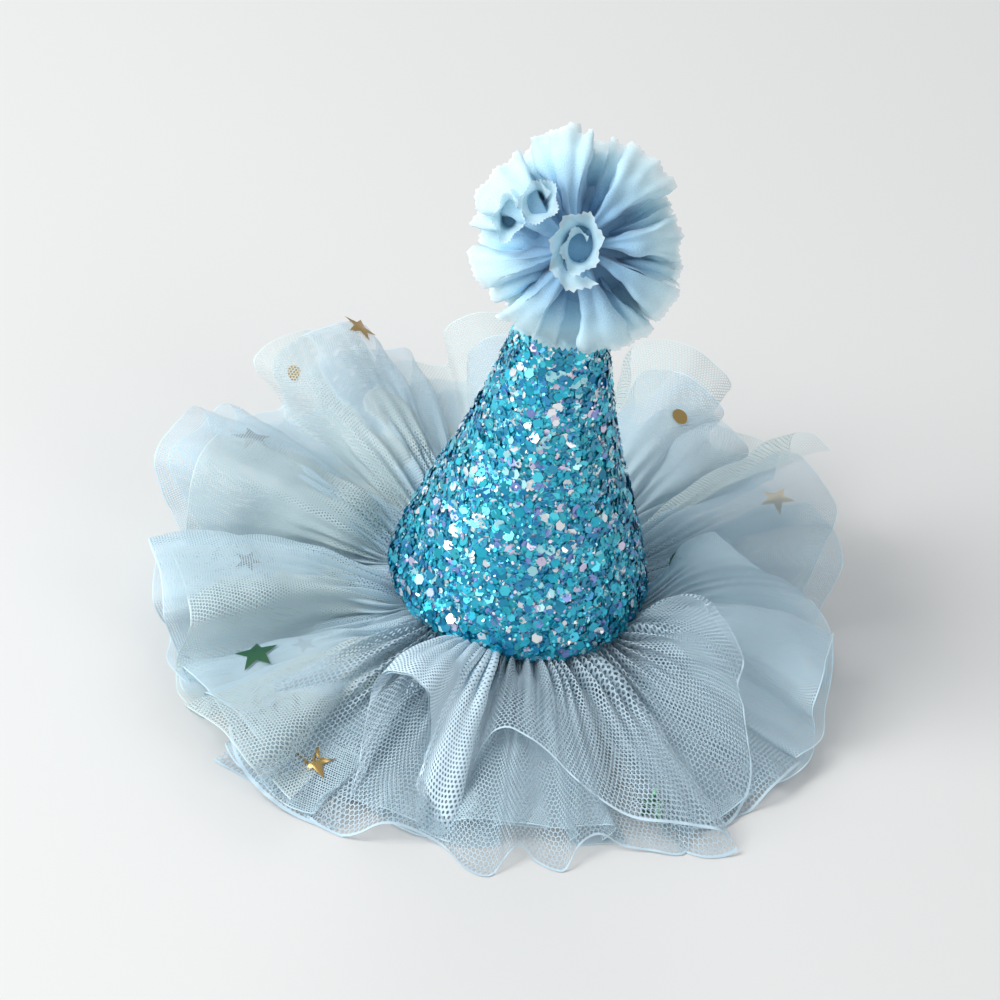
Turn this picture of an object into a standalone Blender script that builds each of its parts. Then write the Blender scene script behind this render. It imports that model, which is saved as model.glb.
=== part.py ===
"""Mini birthday hat on a hair clip.

Metres, +Z up along the cone's axis. The origin is on the underside of the clip's prong, below the cone's
axis. The part rests on the clip's lever and on the tulle's hems, all at FLOOR.
"""

import math

import bmesh
import bpy
from mathutils import Matrix, Vector

GAP = 0.0003

# Clip: a flat plate under the felt, a prong under the plate, and a lever that slopes down to its foot.
CLIP_LENGTH = 0.045
CLIP_WIDTH = 0.009
CLIP_TIP_WIDTH = 0.006
CLIP_SHEET = 0.0008
CLIP_JAW_GAP = 0.0006
CLIP_LEVER_LENGTH = 0.0145
CLIP_FOOT_LENGTH = 0.003
CLIP_DROP = 0.005

# Felt disc between the clip and the tulle, a little smaller than the cone.
DISC_INSET = 0.0009
DISC_THICKNESS = 0.0015

# Cone of glitter sheet, with its bottom edge turned in a little.
CONE_RADIUS = 0.0214
CONE_HEIGHT = 0.060
CONE_WALL = 0.0012
CONE_SEGMENTS = 36

# Pompom: a core with one long frilled strip wound on it, standing on edge, from the rosette to the back. The
# strip starts at FRILL_ROOT of the core's radius, and its edge ripples by FRILL_RIPPLE of the pompom's.
POMPOM_RADIUS = 0.0165
POMPOM_SEAT = 0.0085
FRILL_DEPTH = 0.0043
FRILL_WALL = 0.001
FRILL_PITCH = 0.0088
FRILL_SWING = 0.0025
FRILL_WAVE = 0.0112
FRILL_STEPS = 8
FRILL_ROOT = 0.85
FRILL_RIPPLE = 0.03
FRILL_RIPPLE_TURN = 1.7

# Tulle ruffles: three gathered strips that lie in each other's folds.
TULLE_WALL = 0.001
GATHER_DEPTH = 0.0049
RUFFLE_REACH = 0.060
RUFFLE_LIFT = 0.030
LAYER_SPREAD = 0.0012
NET_CLEARANCE = 0.0005
FOLD_STEPS = 4
GATHER_STEP = 0.0022
NEAR_RINGS = 4
OUTER_RINGS = 4
FOLD_LEAN = 0.05
NET_STEPS = 3
NET_RINGS = 5

# How fast a fold leans over, the layers spread and the net turns to its fold, on the way out from the cone.
LEAN_RATE = 1.5
SPREAD_RATE = 1.4
TURN_POWER = 1.5

DISC_RADIUS = CONE_RADIUS - DISC_INSET
GATHER_RADIUS = CONE_RADIUS - GATHER_DEPTH
POMPOM_CORE_RADIUS = POMPOM_RADIUS - FRILL_DEPTH

# Levels, upwards from the prong's underside.
FLOOR = -CLIP_DROP
PLATE_UNDER = CLIP_SHEET + CLIP_JAW_GAP
PLATE_TOP = PLATE_UNDER + CLIP_SHEET
DISC_UNDER = PLATE_TOP + GAP
DISC_TOP = DISC_UNDER + DISC_THICKNESS
LAYER_STEP = TULLE_WALL + GAP
CREAM_LEVEL = DISC_TOP + GAP + TULLE_WALL / 2
STAR_LEVEL = CREAM_LEVEL + LAYER_STEP
NET_LEVEL = STAR_LEVEL + LAYER_STEP
CONE_BASE = NET_LEVEL + TULLE_WALL / 2 + GAP
CONE_TOP = CONE_BASE + CONE_HEIGHT
POMPOM_CENTRE = CONE_TOP - POMPOM_SEAT + POMPOM_RADIUS

# The cone's outline, from its base up: shares of its height and of its radius.
CONE_OUTLINE = (
    # height, radius
    (0.000, 0.960),
    (0.035, 1.000),
    (0.085, 0.968),
    (0.150, 0.915),
    (0.235, 0.843),
    (0.335, 0.743),
    (0.450, 0.622),
    (0.570, 0.518),
    (0.685, 0.436),
    (0.800, 0.360),
    (0.900, 0.290),
    (1.000, 0.205),
)

# The folds of the star and cream strips, crest and valley in turn, anticlockwise from +X. The hem's height above
# the surface and the rise of the middle are shares of RUFFLE_LIFT, the reaches are shares of RUFFLE_REACH.
FOLD_COLUMNS = ("degrees", "height", "rise", "star_reach", "cream_reach")
FOLDS = (
    (0, 0.55, 0.34, 0.90, 0.80),
    (17, 0.06, 0.06, 0.94, 0.80),
    (34, 0.80, 0.26, 0.96, 0.86),
    (50, 0.50, 0.10, 0.96, 0.96),
    (66, 0.88, 0.20, 0.94, 1.06),
    (82, 0.54, 0.10, 0.88, 1.00),
    (98, 0.84, 0.18, 0.90, 1.02),
    (114, 0.50, 0.10, 0.92, 1.00),
    (132, 0.86, 0.30, 1.02, 1.06),
    (150, 0.44, 0.10, 1.00, 0.96),
    (166, 0.72, 0.30, 1.06, 0.94),
    (182, 0.06, 0.04, 0.96, 0.96),
    (198, 0.52, 0.34, 1.02, 0.96),
    (212, 0.12, 0.04, 0.98, 1.00),
    (226, 0.30, 0.16, 0.98, 1.06),
    (239, 0.09, 0.04, 1.00, 1.00),
    (253, 0.20, 0.06, 0.96, 0.90),
    (267, 0.00, 0.00, 1.00, 0.90),
    (284, 0.12, 0.04, 0.94, 0.90),
    (306, 0.00, 0.00, 0.98, 0.90),
    (329, 0.20, 0.06, 0.96, 0.86),
    (346, 0.14, 0.04, 0.94, 0.84),
)

# The strips that follow FOLDS: where each begins and ends, in degrees, and its place among the layers.
STRIPS = {
    # start, end, layer
    "cream": (50, 239, -1),
    "star": (0, 360, 0),
}

# The net's hem from the left: a tall arch, a wide fold over the front, and a fan on the right. It's gathered
# evenly from NET_START to NET_END under the cone.
NET_START = 228
NET_END = 352
NET_HEM = (
    # degrees, reach, height, rise
    (226, 1.02, 0.03, 0.10),
    (236, 1.00, 0.02, 0.12),
    (242, 0.98, 0.02, 0.24),
    (246, 0.76, 0.34, 0.30),
    (249, 0.62, 0.54, 0.16),
    (258, 0.60, 0.54, 0.14),
    (262, 0.66, 0.34, 0.28),
    (266, 0.82, 0.03, 0.34),
    (270, 0.68, 0.26, 0.26),
    (275, 0.62, 0.37, 0.20),
    (281, 0.63, 0.37, 0.20),
    (290, 0.70, 0.28, 0.20),
    (300, 0.80, 0.16, 0.22),
    (312, 0.87, 0.12, 0.16),
    (320, 0.92, 0.03, 0.12),
    (326, 0.90, 0.08, 0.26),
    (330, 0.78, 0.44, 0.42),
    (334, 0.70, 0.64, 0.40),
    (340, 0.74, 0.58, 0.36),
    (345, 0.86, 0.30, 0.24),
    (353, 0.96, 0.10, 0.10),
)

# The rosette's axis faces forwards and up. The strip starts and ends at these angles from it.
ROSETTE_TILT = math.radians(52)
FRILL_START = math.radians(16)
FRILL_END = math.radians(166)


def clear_scene():
    for obj in list(bpy.data.objects):
        bpy.data.objects.remove(obj, do_unlink=True)


def material(name, colour, roughness, metallic=0.0):
    made = bpy.data.materials.new(name)
    made.use_nodes = True
    shader = made.node_tree.nodes["Principled BSDF"]
    shader.inputs["Base Color"].default_value = (*colour, 1.0)
    shader.inputs["Roughness"].default_value = roughness
    shader.inputs["Metallic"].default_value = metallic
    return made


def add_object(name, mesh_builder, finish, smooth=True):
    """A new object from a bmesh, with its normals facing out."""
    bmesh.ops.recalc_face_normals(mesh_builder, faces=mesh_builder.faces)
    mesh = bpy.data.meshes.new(name)
    mesh_builder.to_mesh(mesh)
    mesh_builder.free()
    mesh.materials.append(finish)
    if smooth:
        mesh.shade_smooth()
        mesh.set_sharp_from_angle(angle=math.radians(40))
    obj = bpy.data.objects.new(name, mesh)
    bpy.context.scene.collection.objects.link(obj)
    return obj


def extrude_outline(bm, outline, width_at):
    """A closed outline in XZ, given a width in Y at each point: two sides and the strip between them."""
    near = [bm.verts.new((x, -width_at(x) / 2, z)) for x, z in outline]
    far = [bm.verts.new((x, width_at(x) / 2, z)) for x, z in outline]
    bm.faces.new(near)
    bm.faces.new(reversed(far))
    count = len(outline)
    for i in range(count):
        j = (i + 1) % count
        bm.faces.new((near[j], near[i], far[i], far[j]))


def hair_clip():
    """Plate, pivot block, prong and lever in one piece. Its side outline is extruded across its width."""
    left = -CLIP_LENGTH / 2
    right = CLIP_LENGTH / 2
    foot = right - CLIP_FOOT_LENGTH
    pivot = right - CLIP_LEVER_LENGTH
    pivot_end = pivot + 2 * CLIP_SHEET
    outline = (
        (left, PLATE_UNDER),
        (pivot, PLATE_UNDER),
        (pivot, CLIP_SHEET),
        (left + CLIP_SHEET, CLIP_SHEET),
        (left + CLIP_SHEET, 0.0),
        (pivot, 0.0),
        (foot, FLOOR),
        (right, FLOOR),
        (right, FLOOR + CLIP_SHEET),
        (foot, FLOOR + CLIP_SHEET),
        (pivot_end, CLIP_SHEET),
        (pivot_end, PLATE_UNDER),
        (right, PLATE_UNDER),
        (right, PLATE_TOP),
        (left, PLATE_TOP),
    )

    def width_at(x):
        share = min(1.0, (x - left) / (pivot - left))
        return CLIP_TIP_WIDTH + (CLIP_WIDTH - CLIP_TIP_WIDTH) * share

    bm = bmesh.new()
    extrude_outline(bm, outline, width_at)
    return add_object("hair_clip", bm, material("clip_steel", (0.75, 0.76, 0.78), 0.3, 1.0), smooth=False)


def base_disc():
    bm = bmesh.new()
    bmesh.ops.create_cone(
        bm,
        cap_ends=True,
        segments=CONE_SEGMENTS,
        radius1=DISC_RADIUS,
        radius2=DISC_RADIUS,
        depth=DISC_THICKNESS,
    )
    obj = add_object("base_disc", bm, material("felt", (0.55, 0.72, 0.85), 0.95))
    obj.location.z = DISC_UNDER + DISC_THICKNESS / 2
    return obj


def cone_profile(inset):
    """Points (radius, height) of the cone's outline, moved inwards."""
    points = []
    for height, radius in CONE_OUTLINE:
        points.append((CONE_RADIUS * radius - inset, CONE_BASE + CONE_HEIGHT * height))
    return points


def spin_profile(profile, segments):
    """A full turn of a profile about Z. Its ends are on the axis or joined to each other."""
    bm = bmesh.new()
    verts = [bm.verts.new((radius, 0.0, height)) for radius, height in profile]
    edges = [bm.edges.new(pair) for pair in zip(verts, verts[1:])]
    bmesh.ops.spin(
        bm,
        geom=verts + edges,
        cent=(0.0, 0.0, 0.0),
        axis=(0.0, 0.0, 1.0),
        angle=math.tau,
        steps=segments,
        use_merge=True,
    )
    bmesh.ops.remove_doubles(bm, verts=bm.verts, dist=0.00001)
    return bm


def glitter_cone():
    outer = cone_profile(0.0)
    inner = cone_profile(CONE_WALL)[:-1:2]
    profile = [(0.0, CONE_TOP - CONE_WALL), *reversed(inner), *outer, (0.0, CONE_TOP)]
    bm = spin_profile(profile, CONE_SEGMENTS)
    return add_object("glitter_cone", bm, material("glitter", (0.02, 0.50, 0.68), 0.35, 0.3))


def smooth_step(share):
    share = max(0.0, min(1.0, share))
    return share * share * (3.0 - 2.0 * share)


def fold_at(degrees):
    """The values of FOLDS at an angle, by column, and how far the side of the fold leans over there."""
    degrees = degrees % 360
    rows = [*FOLDS, (FOLDS[0][0] + 360, *FOLDS[0][1:])]
    for row, after in zip(rows, rows[1:]):
        if row[0] <= degrees <= after[0]:
            break
    share = (degrees - row[0]) / (after[0] - row[0])
    blend = (1.0 - math.cos(math.pi * share)) / 2
    values = {
        column: first + (second - first) * blend for column, first, second in zip(FOLD_COLUMNS, row, after)
    }
    lean = FOLD_LEAN * (after[0] - row[0]) * math.sin(math.tau * share)
    return values, lean


def strip_height(level, hem, rise, share):
    """Height of a strip at a share of the way out from the cone: level at first, then up or down to its hem."""
    middle = (level + hem) / 2 + rise
    return level * (1.0 - share) ** 2 + 2.0 * middle * share * (1.0 - share) + hem * share**2


def share_out(radius, reach):
    """0 under the cone, 1 at the reach."""
    return max(0.0, min(1.0, (radius - CONE_RADIUS) / (reach - CONE_RADIUS)))


def ruffle_point(degrees, radius):
    """A point of the middle strip. It lies flat under the cone and opens into its folds outside it."""
    values, lean = fold_at(degrees)
    share = share_out(radius, RUFFLE_REACH)
    hem = FLOOR + TULLE_WALL / 2 + values["height"] * RUFFLE_LIFT
    z = strip_height(STAR_LEVEL, hem, values["rise"] * RUFFLE_LIFT, share)
    angle = math.radians(degrees + lean * smooth_step(share * LEAN_RATE))
    return Vector((radius * math.cos(angle), radius * math.sin(angle), z))


def ruffle_normal(degrees, radius):
    """The way up from the middle strip, from four points close around."""
    step_angle = 0.5
    step_radius = 0.0003
    round_it = ruffle_point(degrees + step_angle, radius) - ruffle_point(degrees - step_angle, radius)
    outwards = ruffle_point(degrees, radius + step_radius) - ruffle_point(degrees, radius - step_radius)
    return outwards.cross(round_it).normalized()


def fold_samples(start, end):
    """The angles of a strip's sections: FOLD_STEPS from each crest to the next valley."""
    turns = [row[0] + 360 * turn for turn in (0, 1) for row in FOLDS]
    inside = [degrees for degrees in turns if start <= degrees <= end]
    samples = []
    for first, second in zip(inside, inside[1:]):
        samples += [first + (second - first) * step / FOLD_STEPS for step in range(FOLD_STEPS)]
    return samples + inside[-1:]


def ruffle(strip, finish):
    """One gathered strip over the folds of FOLDS."""
    start, end, layer = STRIPS[strip]
    samples = fold_samples(start, end)
    closed = end - start == 360
    if closed:
        samples.pop()
    near_cone = [CONE_RADIUS + step * GATHER_STEP for step in range(NEAR_RINGS)]
    last = near_cone[-1]
    skins = ([], [])
    for degrees in samples:
        values, _ = fold_at(degrees)
        reach = values[f"{strip}_reach"] * RUFFLE_REACH
        outer = [last + (reach - last) * (j + 1) / OUTER_RINGS for j in range(OUTER_RINGS)]
        lines = ([], [])
        for radius in (GATHER_RADIUS, *near_cone, *outer):
            spread = layer * LAYER_SPREAD * min(1.0, share_out(radius, RUFFLE_REACH) * SPREAD_RATE)
            for line, side in zip(lines, (1, -1)):
                offset = layer * LAYER_STEP + side * TULLE_WALL / 2
                place = ruffle_point(degrees, radius) + ruffle_normal(degrees, radius) * offset
                line.append(place + Vector((0, 0, spread)))
        for skin, line in zip(skins, lines):
            skin.append(line)
    return add_wall(f"{strip}_ruffle", skins, closed, finish)


def add_wall(name, skins, closed, finish):
    """A wall between an upper and a lower skin of points, closed along the gathers, the hem and the ends."""
    bm = bmesh.new()
    upper, lower = ([[bm.verts.new(place) for place in line] for line in skin] for skin in skins)
    count = len(upper)
    rings = len(upper[0]) - 1
    for i in range(count if closed else count - 1):
        k = (i + 1) % count
        for j in range(rings):
            bm.faces.new((upper[i][j], upper[i][j + 1], upper[k][j + 1], upper[k][j]))
            bm.faces.new((lower[k][j], lower[k][j + 1], lower[i][j + 1], lower[i][j]))
        bm.faces.new((upper[i][-1], lower[i][-1], lower[k][-1], upper[k][-1]))
        bm.faces.new((upper[k][0], lower[k][0], lower[i][0], upper[i][0]))
    if not closed:
        for j in range(rings):
            bm.faces.new((upper[0][j + 1], upper[0][j], lower[0][j], lower[0][j + 1]))
            bm.faces.new((upper[-1][j], upper[-1][j + 1], lower[-1][j + 1], lower[-1][j]))
    return add_object(name, bm, finish)


def smooth_rows(rows, steps):
    """Rows of numbers on a smooth curve through the given ones, with steps from each to the next."""
    ends = [[2 * a - b for a, b in zip(rows[0], rows[1])], [2 * a - b for a, b in zip(rows[-1], rows[-2])]]
    padded = [ends[0], *rows, ends[1]]
    found = []
    for k in range(1, len(padded) - 2):
        for step in range(steps):
            t = step / steps
            weights = (
                -t / 2 + t * t - t**3 / 2,
                1 - 2.5 * t * t + 1.5 * t**3,
                t / 2 + 2 * t * t - 1.5 * t**3,
                -t * t / 2 + t**3 / 2,
            )
            around = padded[k - 1 : k + 3]
            found.append([sum(w * value for w, value in zip(weights, column)) for column in zip(*around)])
    found.append(list(rows[-1]))
    return found


def net_sections():
    """The net's middle surface: for each section, its points from the gathers out to the hem."""
    rows = smooth_rows(NET_HEM, NET_STEPS)
    sections = []
    for i, (degrees, reach, height, rise) in enumerate(rows):
        root = NET_START + (NET_END - NET_START) * i / (len(rows) - 1)
        far = reach * RUFFLE_REACH
        hem = FLOOR + TULLE_WALL / 2 + height * RUFFLE_LIFT
        rings = [CONE_RADIUS + (far - CONE_RADIUS) * j / NET_RINGS for j in range(NET_RINGS + 1)]
        line = []
        for radius in (GATHER_RADIUS, *rings):
            share = share_out(radius, far)
            turn = root + (degrees - root) * (1.0 - (1.0 - share) ** TURN_POWER)
            below = ruffle_point(turn, radius)
            lowest = below.z + LAYER_STEP / ruffle_normal(turn, radius).z
            lowest += (LAYER_SPREAD + NET_CLEARANCE) * min(1.0, share * SPREAD_RATE)
            z = max(strip_height(NET_LEVEL, hem, rise * RUFFLE_LIFT, share), lowest)
            angle = math.radians(turn)
            line.append(Vector((radius * math.cos(angle), radius * math.sin(angle), z)))
        sections.append(line)
    return sections


def net_ruffle(finish):
    """The net's strip, with half its wall on each side of its middle surface."""
    sections = net_sections()
    count = len(sections)
    rings = len(sections[0])
    skins = ([], [])
    for i, line in enumerate(sections):
        lines = ([], [])
        for j, place in enumerate(line):
            round_it = sections[min(i + 1, count - 1)][j] - sections[max(i - 1, 0)][j]
            outwards = line[min(j + 1, rings - 1)] - line[max(j - 1, 0)]
            normal = outwards.cross(round_it).normalized()
            for part, side in zip(lines, (1, -1)):
                part.append(place + normal * side * TULLE_WALL / 2)
        for skin, part in zip(skins, lines):
            skin.append(part)
    return add_wall("net_ruffle", skins, False, finish)


def frill_path():
    """Directions along the wound strip, from the rosette's axis outwards, each with the strip's wave on it."""
    directions = []
    polar = FRILL_START
    azimuth = 0.0
    length = 0.0
    step = FRILL_WAVE / FRILL_STEPS
    while polar < FRILL_END:
        phase = math.tau * length / FRILL_WAVE
        swing = FRILL_SWING / POMPOM_RADIUS * math.sin(phase)
        aim = Matrix.Rotation(azimuth, 3, "Z") @ Matrix.Rotation(polar + swing, 3, "Y")
        directions.append(aim @ Vector((0, 0, 1)))
        turn = step / (POMPOM_RADIUS * math.sin(polar))
        azimuth += turn
        polar += FRILL_PITCH / POMPOM_RADIUS * turn / math.tau
        length += step
    return directions


def frill(bm):
    """The wound strip: a wall along its path, from inside the core out to the pompom's surface."""
    path = frill_path()
    low = POMPOM_CORE_RADIUS * FRILL_ROOT
    sections = []
    for i in range(1, len(path) - 1):
        along = path[i + 1] - path[i - 1]
        across = path[i].cross(along).normalized() * FRILL_WALL / 2
        ripple = math.sin(FRILL_RIPPLE_TURN * i)
        high = POMPOM_RADIUS * (1.0 - FRILL_RIPPLE + FRILL_RIPPLE * ripple)
        foot = path[i] * low
        edge = path[i] * high
        corners = (foot - across, edge - across, edge + across, foot + across)
        sections.append([bm.verts.new(corner) for corner in corners])
    for first, second in zip(sections, sections[1:]):
        for i in range(4):
            j = (i + 1) % 4
            bm.faces.new((first[i], first[j], second[j], second[i]))
    bm.faces.new(reversed(sections[0]))
    bm.faces.new(sections[-1])
    bmesh.ops.rotate(bm, verts=bm.verts, cent=(0, 0, 0), matrix=Matrix.Rotation(ROSETTE_TILT, 3, "X"))


def as_cutter(obj):
    obj.hide_render = True
    obj.display_type = "WIRE"
    return obj


def add_boolean(obj, other, operation):
    modifier = obj.modifiers.new(other.name, "BOOLEAN")
    modifier.operation = operation
    modifier.object = other
    modifier.use_self = True


def pompom():
    """The core and its frill made one, with the socket for the cone's tip cut into them."""
    finish = material("chiffon", (0.36, 0.55, 0.78), 0.9)
    bm = bmesh.new()
    bmesh.ops.create_icosphere(bm, subdivisions=3, radius=POMPOM_CORE_RADIUS)
    ball = add_object("pompom", bm, finish, smooth=False)
    bm = bmesh.new()
    frill(bm)
    strip = as_cutter(add_object("pompom_frill", bm, finish, smooth=False))
    for obj in (ball, strip):
        obj.location.z = POMPOM_CENTRE
    add_boolean(ball, strip, "UNION")
    outline = [(radius + GAP, height) for radius, height in cone_profile(0.0)]
    neck = [point for point in outline if point[1] > CONE_BASE + CONE_HEIGHT / 2]
    top = CONE_TOP + GAP
    profile = [(0.0, neck[0][1]), *neck[:-1], (neck[-1][0], top), (0.0, top)]
    socket = add_object("pompom_socket", spin_profile(profile, CONE_SEGMENTS), finish)
    add_boolean(ball, as_cutter(socket), "DIFFERENCE")
    return ball


def main():
    clear_scene()
    hair_clip()
    base_disc()
    ruffle("cream", material("cream_tulle", (0.85, 0.86, 0.82), 0.8))
    ruffle("star", material("sky_tulle", (0.55, 0.75, 0.88), 0.8))
    net_ruffle(material("net", (0.62, 0.80, 0.88), 0.8))
    glitter_cone()
    pompom()


main()
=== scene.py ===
import math

import bmesh
import bpy
import numpy as np
from mathutils import Matrix, Quaternion, Vector, noise


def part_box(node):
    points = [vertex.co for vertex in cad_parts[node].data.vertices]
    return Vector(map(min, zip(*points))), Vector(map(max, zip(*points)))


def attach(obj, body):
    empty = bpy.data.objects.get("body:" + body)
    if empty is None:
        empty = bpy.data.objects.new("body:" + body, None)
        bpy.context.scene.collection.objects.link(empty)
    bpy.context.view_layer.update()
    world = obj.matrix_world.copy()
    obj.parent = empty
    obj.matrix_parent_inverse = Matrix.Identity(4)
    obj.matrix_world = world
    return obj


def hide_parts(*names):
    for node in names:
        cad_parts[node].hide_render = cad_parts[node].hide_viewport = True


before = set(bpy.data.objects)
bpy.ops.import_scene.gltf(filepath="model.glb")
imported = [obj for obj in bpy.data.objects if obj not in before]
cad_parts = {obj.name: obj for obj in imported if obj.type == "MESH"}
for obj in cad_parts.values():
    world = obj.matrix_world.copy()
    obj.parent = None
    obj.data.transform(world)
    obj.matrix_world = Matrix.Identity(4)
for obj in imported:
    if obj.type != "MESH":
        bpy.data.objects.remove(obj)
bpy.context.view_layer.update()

MM = 0.001
CONE_LOW, CONE_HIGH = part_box("glitter_cone")
CONE_RADIUS = CONE_HIGH.x
CONE_BASE = CONE_LOW.z
CONE_TOP = CONE_HIGH.z
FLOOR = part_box("hair_clip")[0].z
GATHER_RADIUS = 16.5 * MM
GATHER_LEVEL = CONE_BASE - 0.8 * MM
RUFFLE_REACH = 60 * MM
RUFFLE_LIFT = 30 * MM
PLEAT_LENGTH = 5.0 * MM
CURVE_STEPS = 10
TURN_POWER = 1.5
POMPOM_RADIUS = 16.5 * MM
POMPOM_CENTRE = Vector((0, 0, CONE_TOP + 8.0 * MM))
POMPOM_TILT = math.radians(60)
POMPOM_CORE = 9.5 * MM

# How the strips of tulle lie: clear of the floor, level up to a share of the cone's radius, gathered partly
# evenly, with folds that take a part of the way to the next one, and with a gap where the net lies double.
FLOOR_GAP = 0.2 * MM
LEVEL_SHARE = 0.97
EVEN_PART = 0.35
FOLD_CREST = 0.56
FOLD_VALLEY = 0.50
PLY_GAP = 0.5 * MM

# The tulle's dents: how many cells of the noise go to a metre, and how deep the fine ones are.
SWAY_SCALE = 90
SOFT_SCALE = 55
FINE_SCALE = 160
FINE_DENT = 0.7 * MM

# The chiffon's dents, frill and zigzag edge.
CRUMPLE_SCALE = 130
CREASE_SCALE = 420
CREASE_SHARE = 0.3
PETAL_CRUMPLE = 1.3 * MM
CURL_CRUMPLE = 0.3 * MM
FRILL_LENGTH = 4.2 * MM
FRILL_DEPTH = 0.35 * MM
PINKED_DEPTH = 0.6 * MM

# Colours, as linear red, green and blue.
NET_COLOUR = (0.44, 0.57, 0.65)
# The net's double ply over the arch is painted lighter than the coarse net: a painted highlight on the fold.
FOLD_HIGHLIGHT_COLOUR = (0.66, 0.84, 0.95)
SKY_COLOUR = (0.54, 0.71, 0.80)
CREAM_COLOUR = (0.58, 0.70, 0.71)
CHIFFON_COLOUR = (0.46, 0.72, 0.87)
# Painted shade deep in the chiffon's gathers, painted light at its rim and a painted highlight along its
# pinked edge.
CHIFFON_GATHER_SHADE = (0.20, 0.38, 0.56)
CHIFFON_RIM_LIGHT = (0.64, 0.86, 0.93)
CHIFFON_EDGE_HIGHLIGHT = (0.74, 0.90, 0.94)
FELT_COLOUR = (0.33, 0.55, 0.70)
STEEL_COLOUR = (0.62, 0.63, 0.65)
FLOOR_COLOUR = (0.77, 0.77, 0.76)


def new_material(name):
    """A material with its nodes, its links and its Principled shader."""
    made = bpy.data.materials.new(name)
    made.use_nodes = True
    nodes = made.node_tree.nodes
    return made, nodes, made.node_tree.links, nodes["Principled BSDF"]


def math_node(nodes, links, operation, first, second=None):
    """A Math node whose inputs are numbers or sockets. Returns its output."""
    node = nodes.new("ShaderNodeMath")
    node.operation = operation
    for slot, value in enumerate((first, second)):
        if value is None:
            continue
        if isinstance(value, (int, float)):
            node.inputs[slot].default_value = value
        else:
            links.new(value, node.inputs[slot])
    return node.outputs[0]


def vector_node(nodes, links, operation, first, second=None, output="Vector"):
    """A Vector Math node whose inputs are triples or sockets. Returns one output."""
    node = nodes.new("ShaderNodeVectorMath")
    node.operation = operation
    for slot, value in enumerate((first, second)):
        if value is None:
            continue
        if isinstance(value, tuple):
            node.inputs[slot].default_value = value
        else:
            links.new(value, node.inputs[slot])
    return node.outputs[output]


def map_range(nodes, links, value, low, high, out_low=0.0, out_high=1.0):
    """A smooth step from out_low to out_high as the value goes from low to high. Returns its output."""
    node = nodes.new("ShaderNodeMapRange")
    node.interpolation_type = "SMOOTHSTEP"
    links.new(value, node.inputs["Value"])
    node.inputs["From Min"].default_value = low
    node.inputs["From Max"].default_value = high
    node.inputs["To Min"].default_value = out_low
    node.inputs["To Max"].default_value = out_high
    return node.outputs["Result"]


def hexagon_distance(nodes, links, place):
    """How far a point is from the middle of a cell, measured to the sides of a hexagon of width 1."""
    size = vector_node(nodes, links, "ABSOLUTE", place)
    slant = vector_node(nodes, links, "DOT_PRODUCT", size, (0.5, math.sqrt(3) / 2, 0.0), "Value")
    split = nodes.new("ShaderNodeSeparateXYZ")
    links.new(size, split.inputs[0])
    return math_node(nodes, links, "MAXIMUM", slant, split.outputs["X"])


# The holes of a net close over this span, measured from the hem, by this share of a cell, and the edges of
# its threads are soft over this share.
CLOSING_SPAN = (8 * MM, 30 * MM)
CLOSING = 0.10
THREAD_EDGE = 0.03


def net_threads(nodes, links, pitch, hole):
    """1 on the threads of a hexagonal net and 0 in its holes, on the cloth's own UV map in metres.

    The gathers draw the cloth together, so the holes are smaller away from the hem.
    """
    cloth = nodes.new("ShaderNodeUVMap")
    cloth.uv_map = "cloth"
    cell = (pitch, pitch * math.sqrt(3), 1.0)
    full = (1.0, math.sqrt(3), 0.0)
    place = vector_node(nodes, links, "DIVIDE", cloth.outputs["UV"], cell)
    distances = []
    for shift in (0.0, 0.5):
        moved = vector_node(nodes, links, "ADD", place, (shift, shift, 0.0))
        share = vector_node(nodes, links, "FRACTION", moved)
        centred = vector_node(nodes, links, "SUBTRACT", share, (0.5, 0.5, 0.0))
        scaled = vector_node(nodes, links, "MULTIPLY", centred, full)
        distances.append(hexagon_distance(nodes, links, scaled))
    nearest = math_node(nodes, links, "MINIMUM", *distances)
    split = nodes.new("ShaderNodeSeparateXYZ")
    links.new(cloth.outputs["UV"], split.inputs[0])
    closing = map_range(nodes, links, split.outputs["Y"], *CLOSING_SPAN, 0.0, CLOSING)
    nearest = math_node(nodes, links, "ADD", nearest, closing)
    return map_range(nodes, links, nearest, hole - THREAD_EDGE, hole + THREAD_EDGE)


def hem_band(nodes, links, width):
    """1 along the hem, where the cloth's v is its distance from the hem, and 0 inside."""
    cloth = nodes.new("ShaderNodeUVMap")
    cloth.uv_map = "cloth"
    split = nodes.new("ShaderNodeSeparateXYZ")
    links.new(cloth.outputs["UV"], split.inputs[0])
    return map_range(nodes, links, split.outputs["Y"], width * 0.8, width * 1.2, 1.0, 0.0)


def tulle_material(name, colour, pitch, hole, hem):
    """Sheer net: light threads with open holes, and a closer band of threads along the hem, painted lighter
    there as a painted highlight.
    """
    made, nodes, links, shader = new_material(name)
    threads = net_threads(nodes, links, pitch, hole)
    band = hem_band(nodes, links, hem)
    alpha = math_node(nodes, links, "MAXIMUM", threads, band)
    links.new(alpha, shader.inputs["Alpha"])
    # The hem band is painted a quarter lighter: a painted highlight along the hem, over its real closer
    # threads.
    tint = nodes.new("ShaderNodeMix")
    tint.data_type = "RGBA"
    links.new(band, tint.inputs["Factor"])
    tint.inputs["A"].default_value = (*colour, 1.0)
    tint.inputs["B"].default_value = (*[min(1.0, part * 1.25) for part in colour], 1.0)
    links.new(tint.outputs["Result"], shader.inputs["Base Color"])
    shader.inputs["Roughness"].default_value = 0.65
    shader.inputs["Sheen Weight"].default_value = 0.3
    shader.inputs["Sheen Roughness"].default_value = 0.5
    return made


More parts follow.
